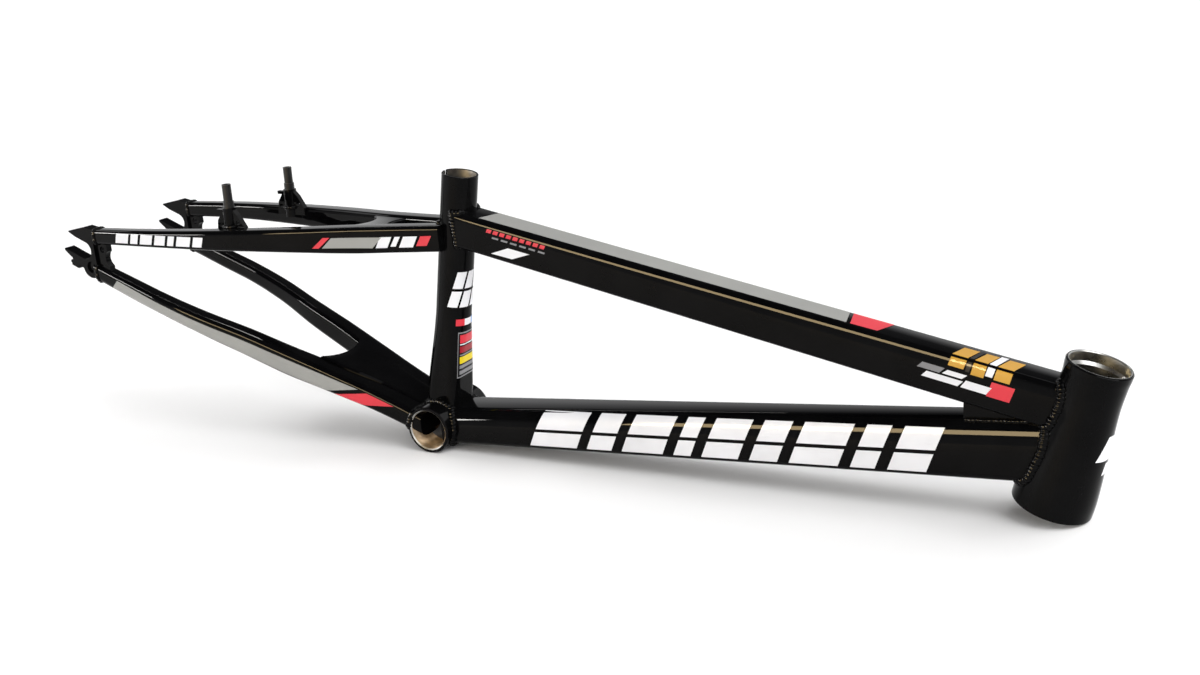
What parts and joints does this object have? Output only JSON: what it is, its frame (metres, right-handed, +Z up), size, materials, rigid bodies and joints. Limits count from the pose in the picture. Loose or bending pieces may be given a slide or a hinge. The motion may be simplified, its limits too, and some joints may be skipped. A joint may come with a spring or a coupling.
{
  "type": "bicycle frame",
  "caption": "Welded aluminium race frame for a small-wheeled bicycle, with a tapered head tube, deep shouldered main tubes and slotted rear dropouts.",
  "frame": {"origin": "centre of the bottom bracket shell", "axes": "+X forward to the head tube, +Y to the rider's left, +Z up, with the frame standing on its shell and on the lower rim of its head tube"},
  "size_m": [0.9485, 0.137, 0.2455],
  "materials": {
    "gloss_black_paint": "gloss",
    "bare_machined_metal": "machined",
    "black_posts": "satin"
  },
  "bodies": {
    "root": {"head_tube": "gloss_black_paint", "seat_tube": "gloss_black_paint", "top_tube": "gloss_black_paint", "down_tube": "gloss_black_paint", "throat_gusset": "gloss_black_paint", "bottom_bracket_shell": "bare_machined_metal", "seat_stay_left": "gloss_black_paint", "seat_stay_right": "gloss_black_paint", "chain_stay_left": "gloss_black_paint", "chain_stay_right": "gloss_black_paint", "chain_stay_yoke": "gloss_black_paint", "seat_stay_bridge": "gloss_black_paint", "dropout_left": "gloss_black_paint", "dropout_right": "gloss_black_paint", "brake_boss_left": "gloss_black_paint", "brake_boss_right": "gloss_black_paint", "brake_post_left": "black_posts", "brake_post_right": "black_posts"}
  },
  "joints": []
}
